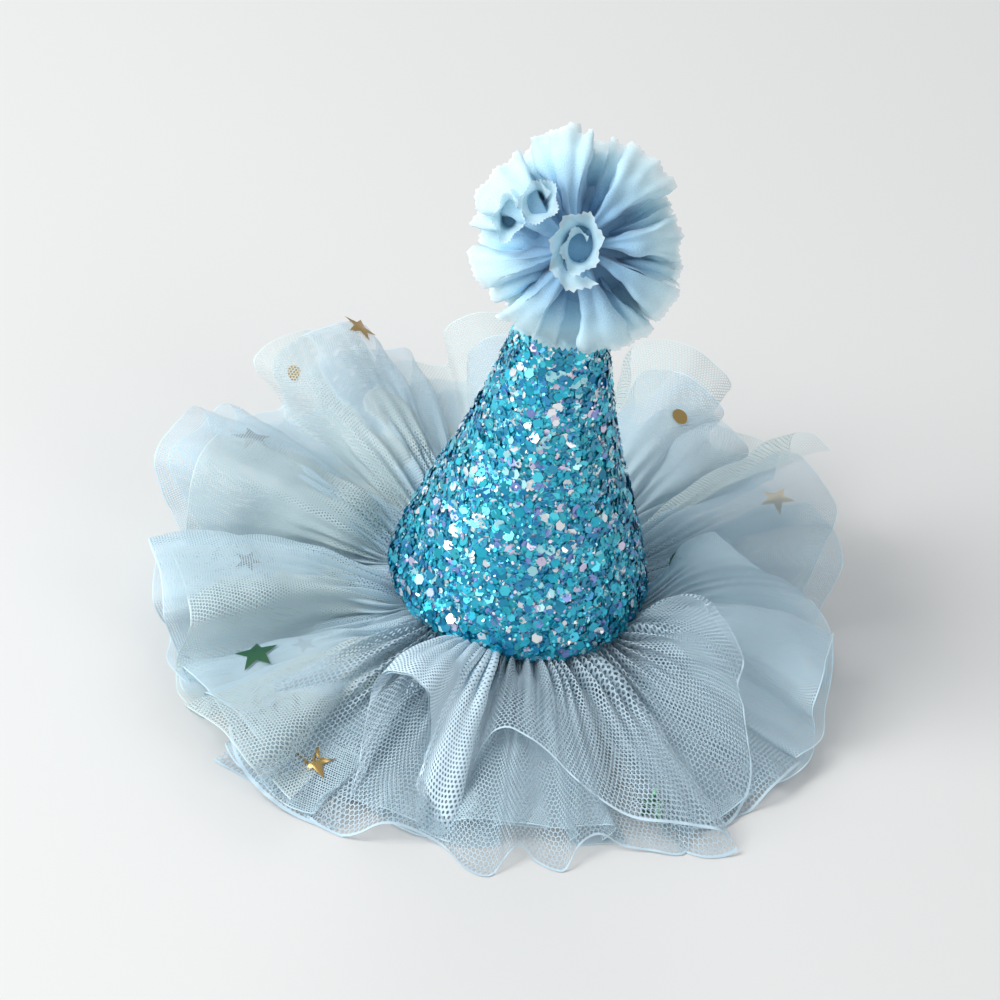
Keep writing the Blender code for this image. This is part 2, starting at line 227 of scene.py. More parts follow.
def felt_material():
    """Wool felt, mottled and rough with fibres."""
    made, nodes, links, shader = new_material("wool_felt")
    place = nodes.new("ShaderNodeTexCoord")
    fibres = nodes.new("ShaderNodeTexNoise")
    fibres.inputs["Scale"].default_value = 1600
    fibres.inputs["Detail"].default_value = 6
    links.new(place.outputs["Object"], fibres.inputs["Vector"])
    ramp = nodes.new("ShaderNodeValToRGB")
    ramp.color_ramp.elements[0].color = (*[part * 0.7 for part in FELT_COLOUR], 1.0)
    ramp.color_ramp.elements[1].color = (*[part * 1.2 for part in FELT_COLOUR], 1.0)
    links.new(fibres.outputs["Fac"], ramp.inputs["Fac"])
    links.new(ramp.outputs["Color"], shader.inputs["Base Color"])
    bump = nodes.new("ShaderNodeBump")
    bump.inputs["Strength"].default_value = 0.6
    bump.inputs["Distance"].default_value = 0.2 * MM
    links.new(fibres.outputs["Fac"], bump.inputs["Height"])
    links.new(bump.outputs["Normal"], shader.inputs["Normal"])
    shader.inputs["Roughness"].default_value = 0.95
    return made


def steel_material():
    """Brushed steel, with its grain along the clip."""
    made, nodes, links, shader = new_material("clip_steel")
    place = nodes.new("ShaderNodeTexCoord")
    stretch = nodes.new("ShaderNodeMapping")
    stretch.inputs["Scale"].default_value = (60, 2500, 2500)
    links.new(place.outputs["Object"], stretch.inputs["Vector"])
    grain = nodes.new("ShaderNodeTexNoise")
    grain.inputs["Scale"].default_value = 1.0
    grain.inputs["Detail"].default_value = 4
    links.new(stretch.outputs["Vector"], grain.inputs["Vector"])
    links.new(map_range(nodes, links, grain.outputs["Fac"], 0.3, 0.7, 0.22, 0.42), shader.inputs["Roughness"])
    bump = nodes.new("ShaderNodeBump")
    bump.inputs["Strength"].default_value = 0.15
    bump.inputs["Distance"].default_value = 0.05 * MM
    links.new(grain.outputs["Fac"], bump.inputs["Height"])
    links.new(bump.outputs["Normal"], shader.inputs["Normal"])
    shader.inputs["Base Color"].default_value = (*STEEL_COLOUR, 1.0)
    shader.inputs["Metallic"].default_value = 1.0
    return made


# Glitter: each flake's tint picks its colour from these steps. The pale cyan and white steps are painted
# glints on part of the flakes and of the cone's cells.
GLITTER_AND_GLINT_STEPS = (
    # from, red, green, blue
    (0.00, 0.005, 0.30, 0.50),
    (0.18, 0.010, 0.52, 0.72),
    (0.42, 0.005, 0.26, 0.56),
    (0.54, 0.010, 0.44, 0.54),
    (0.66, 0.060, 0.70, 0.86),
    (0.80, 0.26, 0.34, 0.76),
    # Painted glints: the pale cyan and white steps.
    (0.84, 0.45, 0.88, 0.96),
    (0.90, 0.80, 0.70, 0.92),
    (0.925, 0.95, 0.97, 1.00),
)


def glitter_material(name, source):
    """Foil flakes. source gives the socket with each flake's tint, from 0 to 1."""
    made, nodes, links, shader = new_material(name)
    ramp = nodes.new("ShaderNodeValToRGB")
    ramp.color_ramp.interpolation = "CONSTANT"
    elements = ramp.color_ramp.elements
    while len(elements) < len(GLITTER_AND_GLINT_STEPS):
        elements.new(0.5)
    # The palest steps paint glints on part of the flakes.
    for element, (start, *colour) in zip(elements, GLITTER_AND_GLINT_STEPS):
        element.position = start
        element.color = (*colour, 1.0)
    links.new(source(nodes, links), ramp.inputs["Fac"])
    links.new(ramp.outputs["Color"], shader.inputs["Base Color"])
    shader.inputs["Metallic"].default_value = 0.6
    shader.inputs["Roughness"].default_value = 0.34
    shader.inputs["Coat Weight"].default_value = 1.0
    shader.inputs["Coat Roughness"].default_value = 0.16
    return made


def flake_tint(nodes, links):
    """The tint that the scatter gives each loose flake."""
    tint = nodes.new("ShaderNodeAttribute")
    tint.attribute_name = "tint"
    return tint.outputs["Fac"]


def cell_tint(nodes, links):
    """A tint for each cell of the sheet under the loose flakes."""
    place = nodes.new("ShaderNodeTexCoord")
    cells = nodes.new("ShaderNodeTexVoronoi")
    cells.inputs["Scale"].default_value = 900
    links.new(place.outputs["Object"], cells.inputs["Vector"])
    split = nodes.new("ShaderNodeSeparateColor")
    links.new(cells.outputs["Color"], split.inputs["Color"])
    return split.outputs["Red"]


def add_piece(name, mesh, finish, slot, *replaced):
    """A shown piece from a mesh in place, riding on the only body."""
    mesh.materials.clear()
    mesh.materials.append(finish)
    piece = bpy.data.objects.new(name, mesh)
    bpy.context.scene.collection.objects.link(piece)
    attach(piece, "root")
    if replaced:
        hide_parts(*replaced)
    return piece


def mesh_of(bm, name, smooth=True):
    """A mesh from a bmesh, which is freed."""
    mesh = bpy.data.meshes.new(name)
    bm.to_mesh(mesh)
    bm.free()
    if smooth:
        mesh.shade_smooth()
    return mesh


def cloth_mesh(name, places, cloth):
    """A grid moved to places[i, j], with cloth[i, j] as its UV map in metres."""
    across, out = places.shape[0] - 1, places.shape[1] - 1
    bm = bmesh.new()
    bmesh.ops.create_grid(bm, x_segments=across, y_segments=out, size=0.5)
    mesh = mesh_of(bm, name)
    flat = np.empty(len(mesh.vertices) * 3, np.float32)
    mesh.vertices.foreach_get("co", flat)
    flat = flat.reshape(-1, 3)
    i = np.rint((flat[:, 0] + 0.5) * across).astype(int)
    j = np.rint((flat[:, 1] + 0.5) * out).astype(int)
    mesh.vertices.foreach_set("co", places[i, j].astype(np.float32).ravel())
    corners = np.empty(len(mesh.loops), np.int32)
    mesh.loops.foreach_get("vertex_index", corners)
    layer = mesh.uv_layers.new(name="cloth")
    layer.data.foreach_set("uv", cloth[i, j][corners].astype(np.float32).ravel())
    mesh.update()
    return mesh


def smooth_share(share):
    """A share held between 0 and 1, with a soft start and end."""
    share = np.clip(share, 0.0, 1.0)
    return share * share * (3.0 - 2.0 * share)


def curve_through(rows, steps):
    """Points on a smooth curve through rows: steps of them from each row up to the next, and the last row."""
    rows = np.array(rows, float)
    padded = np.vstack((2 * rows[0] - rows[1], rows, 2 * rows[-1] - rows[-2]))
    points = []
    for k in range(1, len(padded) - 2):
        before, first, second, after = padded[k - 1 : k + 3]
        for share in np.linspace(0, 1, steps, endpoint=False):
            cube = 2 * first + (second - before) * share
            cube = cube + (2 * before - 5 * first + 4 * second - after) * share**2
            cube = cube + (3 * first - before - 3 * second + after) * share**3
            points.append(cube / 2)
    points.append(rows[-1])
    return np.array(points)


def polar_place(degrees, radius, height):
    """Points from degrees anticlockwise from +X, distances from the axis and heights."""
    angle = np.radians(degrees)
    return np.stack((radius * np.cos(angle), radius * np.sin(angle), height), axis=-1)


def lengths_along(places):
    """How far each point is along the line through all of them."""
    steps = np.linalg.norm(np.diff(places, axis=0), axis=1)
    return np.concatenate(([0.0], np.cumsum(steps)))


def wrinkle(place, scale, seed):
    """A smooth field of small dents, from -1 to 1."""
    x, y, z = (float(part) * scale for part in place)
    return noise.noise(Vector((x + seed, y - seed, z + 2.0 * seed)))


def dents_of(places, scale, seed):
    """The dent at each point of a grid, from -1 to 1."""
    return np.array([[wrinkle(place, scale, seed) for place in row] for row in places])


def normals_of(places):
    """The unit normal at each point of a grid."""
    along = np.gradient(places, axis=0)
    out = np.gradient(places, axis=1)
    normal = np.cross(out, along)
    return normal / np.maximum(np.linalg.norm(normal, axis=2, keepdims=True), 1e-12)


def gather_share(degrees):
    """Where each column is gathered, from 0 to 1: partly evenly, and partly below its place on the hem."""
    count = len(degrees)
    own = np.maximum.accumulate(degrees)
    window = np.hanning(max(5, count // 12))
    padded = np.pad(own, len(window), mode="edge")
    own = np.convolve(padded, window / window.sum(), mode="same")[len(window) : -len(window)]
    own = (own - own[0]) / (own[-1] - own[0])
    return EVEN_PART * np.linspace(0, 1, count) + (1 - EVEN_PART) * own


def gathered_strip(hem, arc, root, columns, rings):
    """A gathered strip about +Z: its points, each column's length along the hem, and each point's free share.

    hem has a row for each turn of the hem: degrees, distance, height and rise, in metres. Rise lifts the
    strip's middle. The strip is gathered over arc at root: a distance, a height, and the distance to which it
    stays level. The free share goes from 0 there to 1 at the hem.
    """
    line = curve_through(hem, CURVE_STEPS)
    along = lengths_along(polar_place(line[:, 0], line[:, 1], line[:, 2]))
    even = np.linspace(0, along[-1], columns + 1)
    degrees, radius, height, rise = (np.interp(even, along, part)[:, None] for part in line.T)
    start, end = arc
    foot = start + (end - start) * gather_share(degrees[:, 0])[:, None]
    out = np.linspace(0, 1, rings + 1)[None, :]
    turn = foot + (degrees - foot) * (1 - (1 - out) ** TURN_POWER)
    distance = root[0] + (radius - root[0]) * out
    free = np.clip((distance - root[2]) / (radius - root[2]), 0, 1)
    middle = (root[1] + height) / 2 + rise
    lift = root[1] * (1 - free) ** 2 + 2 * middle * free * (1 - free) + height * free**2
    return polar_place(turn, distance, lift), even, free


def flat_cloth(places, even):
    """The strip's UV map in metres: along the hem, and the distance from the hem. Also its width."""
    width = np.linalg.norm(np.diff(places, axis=1), axis=2).sum(axis=1).mean()
    out = np.linspace(width, 0, places.shape[1])[None, :]
    return np.stack(np.broadcast_arrays(even[:, None], out), axis=-1), width


# The foil printed on the upper star tulle. A row with no points is a dot.
FOIL_PRINTS = (
    # degrees, millimetres from the axis, width, turn, points, depth, foil
    (125.7, 58.6, 7.0, 20, 5, 0.25, "gold"),
    (143.0, 55.7, 2.8, 0, 0, 0.25, "gold"),
    (162.8, 50.5, 7.6, 40, 5, -0.3, "silver"),
    (200.3, 46.4, 5.0, 10, 5, -0.3, "silver"),
    (214.6, 48.6, 7.6, 30, 5, 0.25, "green"),
    (217.5, 41.3, 4.6, 55, 5, -0.3, "silver"),
    (215.5, 36.0, 2.8, 0, 0, -0.2, "silver"),
    (241.0, 53.0, 7.0, 15, 5, 0.25, "gold"),
    (60.1, 47.4, 3.0, 0, 0, 0.25, "gold"),
    (28.0, 47.0, 6.5, 70, 5, -0.3, "gold"),
    (9.1, 25.5, 4.0, 35, 5, 0.25, "green"),
    (304.3, 49.0, 6.5, 25, 5, 0.25, "green"),
)
FOIL_COLOURS = {"gold": (0.62, 0.42, 0.16), "silver": (0.20, 0.23, 0.23), "green": (0.10, 0.26, 0.14)}
STAR_NOTCH = 0.42
DOT_SIDES = 16

# A print lies at the highest of this many points of the cloth, on a patch this share of its width around it.
# Its mesh has rings at these shares of its outline, each point of which lies on this many of the patch.
POINTS_NEAR = 12
PATCH_SHARE = 0.62
PRINT_RINGS = (0.0, 0.35, 0.7, 1.0)
POINTS_UNDER = 4


def foil_outline(width, turn, points):
    """Points around a star or a dot of this width, flat."""
    count = 2 * points or DOT_SIDES
    angle = math.tau * np.arange(count) / count + math.radians(turn)
    radius = np.full(count, width / 2)
    if points:
        radius[1::2] *= STAR_NOTCH
    return np.stack((radius * np.cos(angle), radius * np.sin(angle)), axis=-1)


def foil_print(flat, row):
    """A star or a dot of foil that lies on the uppermost ply, or close under it where depth is below zero."""
    degrees, distance, width, turn, points, depth, _ = row
    aim = polar_place(degrees, distance * MM, 0.0)[:2]
    away = np.linalg.norm(flat[:, :2] - aim, axis=1)
    near = np.argsort(away)[:POINTS_NEAR]
    middle = flat[near[np.argmax(flat[near, 2])]]
    patch = flat[np.linalg.norm(flat - middle, axis=1) < PATCH_SHARE * width * MM]
    normal = np.linalg.svd(patch - patch.mean(axis=0), full_matrices=False)[2][2]
    normal = normal * np.sign(normal[2])
    across = np.cross((0.0, 1.0, 0.0), normal)
    across = across / np.linalg.norm(across)
    up = np.cross(normal, across)
    outline = foil_outline(width * MM, turn, points)
    bm = bmesh.new()
    rings = []
    for share in PRINT_RINGS:
        ring = []
        for x, y in outline[:1] if share == 0 else outline:
            place = middle + across * x * share + up * y * share
            aside = patch - place
            level = aside @ normal
            closest = np.argsort(np.linalg.norm(aside - level[:, None] * normal, axis=1))[:POINTS_UNDER]
            ring.append(bm.verts.new(place + normal * (level[closest].max() + depth * MM)))
        rings.append(ring)
    count = len(outline)
    for i in range(count):
        k = (i + 1) % count
        bm.faces.new((rings[0][0], rings[1][i], rings[1][k]))
        for inner, outer in zip(rings[1:], rings[2:]):
            bm.faces.new((inner[i], outer[i], outer[k], inner[k]))
    return bm


def foil_prints(flat):
    """The stars and dots, laid on the points of the plies: one piece for each foil."""
    pieces = []
    for foil, colour in FOIL_COLOURS.items():
        joined = bmesh.new()
        for row in FOIL_PRINTS:
            if row[-1] != foil:
                continue
            bm = foil_print(flat, row)
            mesh = mesh_of(bm, "one_print")
            joined.from_mesh(mesh)
            bpy.data.meshes.remove(mesh)
        finish = foil_material(f"{foil}_foil", colour)
        pieces.append(add_piece(f"{foil}_prints", mesh_of(joined, f"{foil}_prints"), finish, "star_tulle"))
    return pieces


def ruffle_sheet(
    name, hem, arc, finish, slot, replaced, columns, rings, below, pleat, puff, seed, under=None
):
    """A gathered strip of tulle under the cone. hem's lengths are shares of the ruffle's reach and lift.

    It is gathered over arc, as far below GATHER_LEVEL as below says. Small pleats run out from the gathers
    and fade towards the hem, and puff is the depth of the soft dents. A ply that is given the points of the
    one under it has the foil printed on it. Returns the strip's points and its UV map.
    """
    scaled = [
        (degrees, reach * RUFFLE_REACH, FLOOR + height * RUFFLE_LIFT, rise * RUFFLE_LIFT)
        for degrees, reach, height, rise in hem
    ]
    root = (GATHER_RADIUS, GATHER_LEVEL - below, LEVEL_SHARE * CONE_RADIUS)
    places, even, free = gathered_strip(scaled, arc, root, columns, rings)
    cloth, width = flat_cloth(places, even)
    out = np.linspace(0, 1, rings + 1)[None, :]
    sway = np.array([wrinkle((along, 0, 0), SWAY_SCALE, seed) for along in even])[:, None]
    fade = 0.4 + 0.6 * smooth_share(out / 0.14) - 0.94 * smooth_share((out - 0.20) / 0.42)
    ripple = np.sin(math.tau * even[:, None] / PLEAT_LENGTH + 6 * sway) * fade * pleat
    soft = dents_of(places, SOFT_SCALE, seed) * puff
    fine = dents_of(places, FINE_SCALE, seed) * FINE_DENT
    places = places + normals_of(places) * (ripple + (soft + fine) * smooth_share(free * 3))[:, :, None]
    places[:, :, 2] = np.maximum(places[:, :, 2], FLOOR + FLOOR_GAP)
    piece = add_piece(name, cloth_mesh(name, places, cloth), finish, slot, replaced)
    pieces = []
    if under is not None:
        pieces = foil_prints(np.vstack((under.reshape(-1, 3), places.reshape(-1, 3))))
    return places, cloth


# The folds of the fine tulle, crest and valley in turn, anticlockwise from +X.
FOLDS = (
    # degrees, height, rise, star reach, cream reach
    (0, 0.55, 0.34, 0.90, 0.80),
    (17, 0.06, 0.06, 0.94, 0.80),
    (34, 0.80, 0.26, 0.96, 1.06),
    (50, 0.50, 0.10, 0.96, 1.06),
    (66, 0.88, 0.20, 0.94, 1.06),
    (82, 0.54, 0.10, 0.88, 1.00),
    (98, 0.84, 0.18, 0.90, 1.02),
    (114, 0.50, 0.10, 0.92, 1.00),
    (132, 0.86, 0.30, 1.02, 1.06),
    (150, 0.44, 0.10, 1.00, 0.96),
    (166, 0.72, 0.30, 1.06, 0.94),
    (182, 0.06, 0.04, 0.96, 0.96),
    (198, 0.52, 0.34, 1.02, 0.96),
    (212, 0.12, 0.04, 0.98, 1.00),
    (226, 0.30, 0.16, 0.98, 1.06),
    (239, 0.09, 0.04, 1.00, 1.00),
    (253, 0.06, 0.02, 0.88, 0.90),
    (267, 0.00, 0.00, 0.88, 0.90),
    (284, 0.12, 0.04, 0.84, 0.90),
    (306, 0.00, 0.00, 0.86, 0.90),
    (329, 0.08, 0.02, 0.90, 0.86),
    (346, 0.14, 0.04, 0.94, 0.84),
)


# How high the hem is on both sides of a crest, as a share of its height, and how far out a crest and a valley
# are at their sides and in their middle, as shares of their reach.
CREST_EDGE = 0.86
CREST_REACH = (1.0, 0.985)
VALLEY_REACH = (0.98, 1.01)


def hem_from_folds(folds, column, start, end, crest_part, valley_part, share=1.0, turn=0.0, drop=0.0):
    """Rows of a hem that runs back under each crest, so that the folds overhang, from a table of folds.

    Each crest and valley takes its part of the way to the next one on both sides. share scales the heights.
    The table is gone through from its last four folds on, because a hem may start before +X.
    """
    rows = []
    count = len(folds)
    for k in range(-4, 2 * count):
        crest = k % 2 == 0
        degrees, height, rise, *reaches = folds[k % count]
        before = (degrees - folds[(k - 1) % count][0]) % 360
        after = (folds[(k + 1) % count][0] - degrees) % 360
        part = crest_part if crest else valley_part
        sides, middle = CREST_REACH if crest else VALLEY_REACH
        height = height * share - drop
        edge = height * (CREST_EDGE if crest else 1.0)
        reach = reaches[column]
        for place, level, far in (
            (degrees - part * before, edge, reach * sides),
            (degrees, height, reach * middle),
            (degrees + part * after, edge, reach * sides),
        ):
            place += 360 * (k // count) + turn
            if start <= place <= end:
                rows.append((place, far, level, rise * share))
    return rows


# The star tulle's upper ply begins with a fold on the right whose hem turns in towards the cone.
STAR_FLAP = (
    # degrees, reach, height, rise
    (-15, 0.95, 0.14, 0.06),
    (-7, 0.93, 0.18, 0.14),
    (1, 0.92, 0.28, 0.24),
    (6, 0.87, 0.46, 0.32),
    (5, 0.75, 0.64, 0.34),
    (3, 0.64, 0.80, 0.32),
    (6, 0.55, 0.88, 0.28),
    (11, 0.53, 0.88, 0.26),
    (14, 0.60, 0.74, 0.28),
    (15, 0.73, 0.48, 0.28),
    (16, 0.86, 0.22, 0.18),
    (19, 0.94, 0.10, 0.10),
)

# The coarse net's upper ply, along its hem from the left: an arch, a wide fold over two pleats, and a fan.
NET_HEM = (
    # degrees, reach, height, rise
    (227, 1.00, 0.26, 0.32),
    (232, 1.03, 0.16, 0.28),
    (238, 1.02, 0.05, 0.18),
    (244, 1.00, 0.00, 0.16),
    (249, 0.97, 0.00, 0.26),
    (248, 0.86, 0.20, 0.40),
    (245, 0.76, 0.44, 0.32),
    (244, 0.68, 0.58, 0.22),
    (248, 0.66, 0.62, 0.18),
    (252, 0.66, 0.62, 0.18),
    (256, 0.68, 0.57, 0.22),
    (258, 0.74, 0.36, 0.38),
    (259, 0.82, 0.12, 0.52),
    (262, 0.86, 0.01, 0.54),
    (266, 0.85, 0.01, 0.50),
    (268, 0.78, 0.08, 0.38),
    (268, 0.69, 0.20, 0.28),
    (270, 0.63, 0.32, 0.20),
    (273, 0.61, 0.38, 0.18),
    (277, 0.62, 0.40, 0.18),
    (285, 0.66, 0.32, 0.20),
    (292, 0.74, 0.22, 0.22),
    (300, 0.84, 0.14, 0.22),
    (308, 0.91, 0.14, 0.24),
    (314, 0.97, 0.10, 0.24),
    (315, 1.01, 0.02, 0.20),
    (310, 0.99, 0.00, 0.16),
    (307, 0.92, 0.00, 0.12),
    (311, 0.88, 0.01, 0.10),
    (318, 0.92, 0.02, 0.10),
    (326, 0.88, 0.12, 0.24),
    (330, 0.80, 0.32, 0.38),
    (331, 0.77, 0.44, 0.40),
    (332, 0.73, 0.54, 0.38),
    (336, 0.71, 0.63, 0.34),
    (339, 0.63, 0.76, 0.32),
    (339, 0.56, 0.84, 0.30),
    (341, 0.62, 0.66, 0.30),
    (344, 0.74, 0.44, 0.28),
    (347, 0.85, 0.26, 0.22),
    (349, 0.90, 0.14, 0.14),
    (351, 0.84, 0.10, 0.10),
)

# The coarse net's lower ply: small pleats that lie on the surface.
NET_UNDER_HEM = (
    # degrees, reach, height, rise
    (226, 1.02, 0.01, 0.08),
    (238, 0.98, 0.03, 0.08),
    (250, 1.00, 0.02, 0.20),
    (257, 0.94, 0.12, 0.20),
    (265, 0.90, 0.01, 0.10),
    (270, 0.97, 0.00, 0.08),
    (274, 0.99, 0.00, 0.08),
    (277, 0.92, 0.06, 0.10),
    (279, 0.89, 0.07, 0.10),
    (282, 0.92, 0.01, 0.08),
    (286, 0.95, 0.00, 0.08),
    (289, 0.89, 0.06, 0.10),
    (293, 0.86, 0.08, 0.10),
    (297, 0.88, 0.02, 0.08),
    (302, 0.91, 0.00, 0.06),
    (307, 0.95, 0.00, 0.06),
    (311, 0.90, 0.03, 0.08),
    (316, 0.90, 0.02, 0.08),
    (322, 0.92, 0.01, 0.12),
    (328, 0.93, 0.12, 0.18),
    (335, 0.93, 0.12, 0.18),
    (342, 0.92, 0.04, 0.12),
    (347, 0.84, 0.04, 0.06),
)


# The stretch of the net's upper hem, over the arch and down its right leg, along which the net lies double.
ARCH_SPAN = (
    # degrees, reach
    (245, 0.74),
    (267, 0.84),
)


def folded_net(places, cloth, finish):
    """A second ply close over the arch, with its cells a little aside, where the net is folded double."""
    hem = places[:, -1, :2]
    columns = []
    for degrees, reach in ARCH_SPAN:
        leg = polar_place(degrees, reach * RUFFLE_REACH, 0.0)[:2]
        columns.append(int(np.argmin(np.linalg.norm(hem - leg, axis=1))))
    span = slice(columns[0], columns[1] + 1)
    raised = places + PLY_GAP * normals_of(places)
    aside = cloth + PLY_GAP
    # Its finish paints the fold lighter than the rest of the net, a painted highlight.
    mesh = cloth_mesh("net_fold", raised[span], aside[span])
    piece = add_piece("net_fold", mesh, finish, "coarse_net", "net_ruffle")


# The cone's outer surface from the bottom to the top, as shares of its height and its largest radius.
CONE_OUTLINE = (
    # height, radius
    (0.000, 0.960),
    (0.035, 1.000),
    (0.085, 0.968),
    (0.150, 0.915),
    (0.235, 0.843),
    (0.335, 0.743),
    (0.450, 0.622),
    (0.570, 0.518),
    (0.685, 0.436),
    (0.800, 0.360),
    (0.900, 0.290),
    (1.000, 0.205),
)
CARRIER_SIDES = 96

FLAKE_LAYERS = (
    # radius, flakes for each square metre, seed, tilt, height
    (0.55 * MM, 2.2e6, 1, 0.30, 0.35 * MM),
    (0.85 * MM, 7.0e5, 20, 0.38, 0.60 * MM),
    (0.28 * MM, 1.8e6, 40, 0.55, 0.75 * MM),
)
FLAKE_SIDES = 6
FLAKE_LOWEST = 0.05 * MM
FLAKE_SIZES = (0.75, 1.2)


def random_value(nodes, kind, low, high, seed):
    """A seeded Random Value node for a FLOAT or a FLOAT_VECTOR. Returns its output."""
    node = nodes.new("FunctionNodeRandomValue")
    node.data_type = kind
    low_socket, high_socket, output = {"FLOAT": (2, 3, 1), "FLOAT_VECTOR": (0, 1, 0)}[kind]
    node.inputs[low_socket].default_value = low
    node.inputs[high_socket].default_value = high
    node.inputs["Seed"].default_value = seed
    return node.outputs[output]


def flake_layer(nodes, links, surface, radius, density, seed, tilt, height):
    """One size of flake, spread over the surface, each at a height, tilt, turn and tint of its own."""
    scatter = nodes.new("GeometryNodeDistributePointsOnFaces")
    scatter.distribute_method = "RANDOM"
    scatter.inputs["Density"].default_value = density
    scatter.inputs["Seed"].default_value = seed
    links.new(surface, scatter.inputs["Mesh"])
    offset = nodes.new("ShaderNodeVectorMath")
    offset.operation = "SCALE"
    links.new(scatter.outputs["Normal"], offset.inputs[0])
    links.new(random_value(nodes, "FLOAT", FLAKE_LOWEST, height, seed + 1), offset.inputs["Scale"])
    raised = nodes.new("GeometryNodeSetPosition")
    links.new(scatter.outputs["Points"], raised.inputs["Geometry"])
    links.new(offset.outputs[0], raised.inputs["Offset"])
    flake = nodes.new("GeometryNodeMeshCircle")
    flake.fill_type = "NGON"
    flake.inputs["Vertices"].default_value = FLAKE_SIDES
    flake.inputs["Radius"].default_value = radius
    turned = nodes.new("FunctionNodeRotateRotation")
    turned.rotation_space = "LOCAL"
    links.new(scatter.outputs["Rotation"], turned.inputs["Rotation"])
    turn = random_value(nodes, "FLOAT_VECTOR", (-tilt, -tilt, 0.0), (tilt, tilt, math.tau), seed + 2)
    links.new(turn, turned.inputs["Rotate By"])
    placed = nodes.new("GeometryNodeInstanceOnPoints")
    links.new(raised.outputs["Geometry"], placed.inputs["Points"])
    links.new(flake.outputs["Mesh"], placed.inputs["Instance"])
    links.new(turned.outputs["Rotation"], placed.inputs["Rotation"])
    links.new(random_value(nodes, "FLOAT", *FLAKE_SIZES, seed + 3), placed.inputs["Scale"])
    tinted = nodes.new("GeometryNodeStoreNamedAttribute")
    tinted.data_type = "FLOAT"
    tinted.domain = "INSTANCE"
    tinted.inputs["Name"].default_value = "tint"
    links.new(placed.outputs["Instances"], tinted.inputs["Geometry"])
    links.new(random_value(nodes, "FLOAT", 0.0, 1.0, seed + 4), tinted.inputs["Value"])
    real = nodes.new("GeometryNodeRealizeInstances")
    links.new(tinted.outputs["Geometry"], real.inputs["Geometry"])
    return real.outputs["Geometry"]


def flake_scatter():
    """The node tree that turns a surface into the flakes that lie over it."""
    tree = bpy.data.node_groups.new("scatter_flakes", "GeometryNodeTree")
    for way in ("INPUT", "OUTPUT"):
        tree.interface.new_socket("Geometry", in_out=way, socket_type="NodeSocketGeometry")
    nodes, links = tree.nodes, tree.links
    given = nodes.new("NodeGroupInput")
    result = nodes.new("NodeGroupOutput")
    layers = nodes.new("GeometryNodeJoinGeometry")
    for row in FLAKE_LAYERS:
        links.new(flake_layer(nodes, links, given.outputs[0], *row), layers.inputs[0])
    links.new(layers.outputs[0], result.inputs[0])
    return tree


def flake_carrier():
    """The cone's surface, rolled up from a flat grid, whose faces come in the same order in each run."""
    rings = len(CONE_OUTLINE) - 1
    bm = bmesh.new()
    bmesh.ops.create_grid(bm, x_segments=CARRIER_SIDES, y_segments=rings, size=0.5)
    for vert in bm.verts:
        high, wide = CONE_OUTLINE[round((vert.co.y + 0.5) * rings)]
        around = math.tau * (vert.co.x + 0.5)
        radius = CONE_RADIUS * wide
        height = CONE_BASE + (CONE_TOP - CONE_BASE) * high
        vert.co = (radius * math.cos(around), radius * math.sin(around), height)
    return mesh_of(bm, "flake_carrier")


def glitter_flakes():
    """Hexagonal foil flakes laid over the cone by Geometry Nodes, each with a tint of its own."""
    carrier = bpy.data.objects.new("flake_carrier", flake_carrier())
    bpy.context.scene.collection.objects.link(carrier)
    modifier = carrier.modifiers.new("scatter", "NODES")
    modifier.node_group = flake_scatter()
    graph = bpy.context.evaluated_depsgraph_get()
    mesh = bpy.data.meshes.new_from_object(carrier.evaluated_get(graph), depsgraph=graph)
    bpy.data.objects.remove(carrier)
    add_piece("glitter_flakes", mesh, glitter_material("foil_flakes", flake_tint), "glitter")


# The rosette's petals, crest and valley in turn, anticlockwise from the right as seen from the front. The
# lengths are shares of POMPOM_RADIUS, and heights are measured from its centre along the rosette's axis.
PETALS = (
    # degrees, height, rise, reach
    (14, 0.36, 0.66, 0.94),
    (33, -0.06, 0.02, 0.92),
    (57, 0.26, 0.62, 1.02),
    (84, -0.20, -0.10, 0.82),
    (101, 0.36, 0.62, 1.08),
    (124, -0.04, 0.00, 0.94),
    (147, 0.26, 0.50, 1.02),
    (188, -0.08, -0.02, 0.92),
    (208, 0.24, 0.58, 0.98),
    (223, -0.04, 0.06, 0.90),
    (244, 0.22, 0.58, 1.02),
    (266, -0.02, -0.16, 1.00),
    (296, 0.26, 0.62, 1.04),
    (317, -0.10, -0.04, 0.96),
    (337, 0.24, 0.60, 1.03),
    (354, -0.06, 0.00, 0.92),
)

# A ring's folds lie in this span of degrees, and its last one is at most so far on from its first.
PETAL_SPAN = (-14, 352)
LAST_PETAL = 345
PETAL_VALLEY = 0.52
PETAL_COLUMNS = 430
PETAL_ROWS = 18

# The rings of petals from the front to the back.
PETAL_RINGS = (
    # turn, drop, reach, root level, root distance
    (0, 0.00, 1.00, 0.56, 0.14),
    (11, 0.30, 1.00, 0.30, 0.14),
    (25, 0.62, 0.95, 0.00, 0.14),
    (7, 0.95, 0.72, -0.35, 0.20),
)

CURL_COLUMNS = 90
CURL_ROWS = 8
CURL_TWIST = 0.8
CURL_WAVE = 0.03
CURL_SEED = 7

# Rolled ends of the strip that face forwards: the scroll in the middle, and two curls on its left.
CURLS = (
    # name, centre across and up, turns, inner foot, outer foot, inner rim, outer rim, low, high, tallness
    ("scroll", 0.01, 0.00, 1.75, 0.07, 0.15, 0.11, 0.30, 0.40, 0.84, 1.38),
    ("curl_upper", -0.44, 0.34, 1.15, 0.05, 0.08, 0.15, 0.20, 0.34, 0.84, 1.05),
    ("curl_left", -0.69, 0.16, 1.15, 0.04, 0.07, 0.11, 0.15, 0.24, 0.70, 1.75),
)


